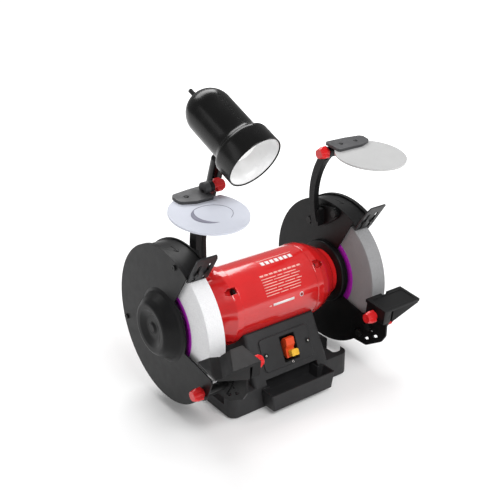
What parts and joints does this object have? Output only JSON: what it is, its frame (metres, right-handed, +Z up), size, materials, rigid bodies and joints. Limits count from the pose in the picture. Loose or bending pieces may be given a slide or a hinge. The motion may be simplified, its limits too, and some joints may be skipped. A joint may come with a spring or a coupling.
{
  "type": "bench grinder",
  "caption": "Twin-wheel bench grinder with wheel guards, eye shields, adjustable tool rests, a coolant tray and a gooseneck work lamp.",
  "frame": {"origin": "on the bench surface, in the middle of the four mounting holes", "axes": "+Z up, +X along the motor shaft towards the right-hand wheel, the operator stands at -Y"},
  "size_m": [0.382, 0.2595, 0.4573],
  "materials": {
    "base_paint": "satin textured dark grey paint",
    "red_paint": "gloss red enamel",
    "black_paint": "semi-gloss black powder coat",
    "steel": "machined steel",
    "zinc_screws": "zinc-plated fasteners",
    "black_screws": "black-oxide fasteners",
    "laminations": "varnished electrical steel",
    "copper": "enamelled copper wire",
    "aluminium_can": "drawn aluminium",
    "rubber": "moulded rubber",
    "black_plastic": "moulded matt black plastic",
    "clip_plastic": "moulded dark grey plastic",
    "red_plastic": "moulded red plastic",
    "orange_plastic": "moulded orange-red plastic",
    "yellow_plastic": "moulded yellow plastic",
    "white_abrasive": "bonded white abrasive",
    "grey_abrasive": "bonded grey abrasive",
    "blotter_paper": "purple card",
    "clear_lens": "clear polycarbonate",
    "lamp_black": "gloss black enamel",
    "lamp_white": "white enamel",
    "bulb_glass": "frosted glass",
    "bushing_plastic": "moulded nylon"
  },
  "bodies": {
    "root": {"base_housing": "base_paint", "bottom_plate": "steel", "rubber_feet": "rubber", "cable_gland": "black_plastic", "capacitor": "aluminium_can", "switch_plate": "black_plastic", "switch_housing": "black_plastic", "motor_shell": "red_paint", "left_end_bell": "red_paint", "right_end_bell": "red_paint", "body_screws": "black_screws", "stator_core": "laminations", "stator_windings": "copper", "bearings": "steel", "guard_screws": "black_screws", "guard_bolts": "black_screws", "guard_stays": "black_screws", "left_guard": "black_paint", "right_guard": "black_paint", "left_guard_cover": "black_paint", "right_guard_cover": "black_paint", "left_shield_arm": "black_paint", "right_shield_arm": "black_paint", "gooseneck_lower": "black_paint"},
    "rotor": {"rotor_shaft": "steel", "rotor_core": "laminations", "wheel_bushings": "bushing_plastic", "wheel_blotters": "blotter_paper", "wheel_flanges": "steel", "wheel_nuts": "zinc_screws", "left_wheel": "white_abrasive", "right_wheel": "grey_abrasive"},
    "tray": {"coolant_tray": "black_plastic"},
    "paddle": {"switch_paddle": "orange_plastic"},
    "key": {"switch_key": "yellow_plastic"},
    "neck_middle": {"gooseneck_middle": "black_paint"},
    "neck_upper": {"gooseneck_upper": "black_paint", "lamp_sleeve": "lamp_black"},
    "lamp": {"lamp_bracket": "lamp_black", "lamp_shade": "lamp_black", "lamp_reflector": "lamp_white", "lamp_socket": "black_plastic", "lamp_bulb": "bulb_glass"},
    "lamp_switch_body": {"lamp_switch": "black_plastic"},
    "left_bracket": {"left_rest_bracket": "black_paint"},
    "left_rest": {"left_tool_rest": "black_paint"},
    "left_rest_clamp": {"left_rest_knob": "red_plastic"},
    "left_cover_clamp": {"left_cover_knob": "red_plastic"},
    "left_deflector": {"left_spark_deflector": "black_plastic"},
    "left_shield": {"left_shield_clip": "clip_plastic", "left_shield_lens": "clear_lens"},
    "left_shield_clamp": {"left_shield_knob": "red_plastic"},
    "right_bracket": {"right_rest_bracket": "black_paint"},
    "right_rest": {"right_tool_rest": "black_paint"},
    "right_rest_clamp": {"right_rest_knob": "red_plastic"},
    "right_cover_clamp": {"right_cover_knob": "red_plastic"},
    "right_deflector": {"right_spark_deflector": "black_plastic"},
    "right_shield": {"right_shield_clip": "clip_plastic", "right_shield_lens": "clear_lens"},
    "right_shield_clamp": {"right_shield_knob": "red_plastic"}
  },
  "joints": [
    {"name": "rotor_spin", "type": "hinge", "parent": "root", "child": "rotor", "pos_m": [0, 0, 0.134], "axis": [1, 0, 0], "continuous": true},
    {"name": "tray_slide", "type": "slide", "parent": "root", "child": "tray", "axis": [0, -1, 0], "range_m": [0, 0.03]},
    {"name": "switch_paddle_rock", "type": "hinge", "parent": "root", "child": "paddle", "pos_m": [0.0045, -0.05685, 0.06802], "axis": [1, 0, 0], "range_deg": [-10, 0]},
    {"name": "switch_key_pull", "type": "slide", "parent": "paddle", "child": "key", "axis": [0, -0.9073, 0.4204], "range_m": [0, 0.012]},
    {"name": "gooseneck_bend_lower", "type": "hinge", "parent": "root", "child": "neck_middle", "pos_m": [-0.09, 0.0105, 0.2253], "axis": [1, 0, 0], "range_deg": [-20, 1]},
    {"name": "gooseneck_bend_upper", "type": "hinge", "parent": "neck_middle", "child": "neck_upper", "pos_m": [-0.09, -0.00077, 0.27208], "axis": [0, 1, 0], "range_deg": [-8, 20]},
    {"name": "lamp_tilt", "type": "hinge", "parent": "neck_upper", "child": "lamp", "pos_m": [-0.09, -0.0415, 0.385], "axis": [-0.8999, 0.1239, -0.4181], "range_deg": [-25, 25]},
    {"name": "lamp_switch_turn", "type": "hinge", "parent": "lamp", "child": "lamp_switch_body", "pos_m": [-0.1138, -0.022, 0.442], "axis": [0.113, -0.8598, -0.4979], "range_deg": [0, 90]},
    {"name": "left_bracket_slide", "type": "slide", "parent": "root", "child": "left_bracket", "axis": [0, -1, 0], "range_m": [-0.002, 0.008]},
    {"name": "left_rest_tilt", "type": "hinge", "parent": "left_bracket", "child": "left_rest", "pos_m": [-0.1075, -0.127, 0.116], "axis": [1, 0, 0], "range_deg": [-5, 30]},
    {"name": "left_rest_knob_turn", "type": "hinge", "parent": "left_rest", "child": "left_rest_clamp", "pos_m": [-0.1075, -0.127, 0.116], "axis": [1, 0, 0], "range_deg": [0, 180]},
    {"name": "left_cover_knob_turn", "type": "hinge", "parent": "root", "child": "left_cover_clamp", "pos_m": [-0.165, -0.093, 0.0755], "axis": [1, 0, 0], "range_deg": [0, 180]},
    {"name": "left_deflector_slide", "type": "slide", "parent": "root", "child": "left_deflector", "axis": [0, -0.5592, 0.829], "range_m": [0, 0.012]},
    {"name": "left_shield_tilt", "type": "hinge", "parent": "root", "child": "left_shield", "pos_m": [-0.112, -0.046, 0.333], "axis": [1, 0, 0], "range_deg": [-30, 5]},
    {"name": "left_shield_knob_turn", "type": "hinge", "parent": "left_shield", "child": "left_shield_clamp", "pos_m": [-0.106, -0.046, 0.333], "axis": [1, 0, 0], "range_deg": [0, 180]},
    {"name": "right_bracket_slide", "type": "slide", "parent": "root", "child": "right_bracket", "axis": [0, -1, 0], "range_m": [-0.002, 0.008]},
    {"name": "right_rest_tilt", "type": "hinge", "parent": "right_bracket", "child": "right_rest", "pos_m": [0.1075, -0.127, 0.116], "axis": [1, 0, 0], "range_deg": [-5, 30]},
    {"name": "right_rest_knob_turn", "type": "hinge", "parent": "right_rest", "child": "right_rest_clamp", "pos_m": [0.1075, -0.127, 0.116], "axis": [1, 0, 0], "range_deg": [0, 180]},
    {"name": "right_cover_knob_turn", "type": "hinge", "parent": "root", "child": "right_cover_clamp", "pos_m": [0.165, -0.093, 0.0755], "axis": [1, 0, 0], "range_deg": [0, 180]},
    {"name": "right_deflector_slide", "type": "slide", "parent": "root", "child": "right_deflector", "axis": [0, -0.5592, 0.829], "range_m": [0, 0.012]},
    {"name": "right_shield_tilt", "type": "hinge", "parent": "root", "child": "right_shield", "pos_m": [0.112, -0.014, 0.327], "axis": [1, 0, 0], "range_deg": [-60, 5]},
    {"name": "right_shield_knob_turn", "type": "hinge", "parent": "right_shield", "child": "right_shield_clamp", "pos_m": [0.106, -0.014, 0.327], "axis": [1, 0, 0], "range_deg": [0, 180]}
  ]
}
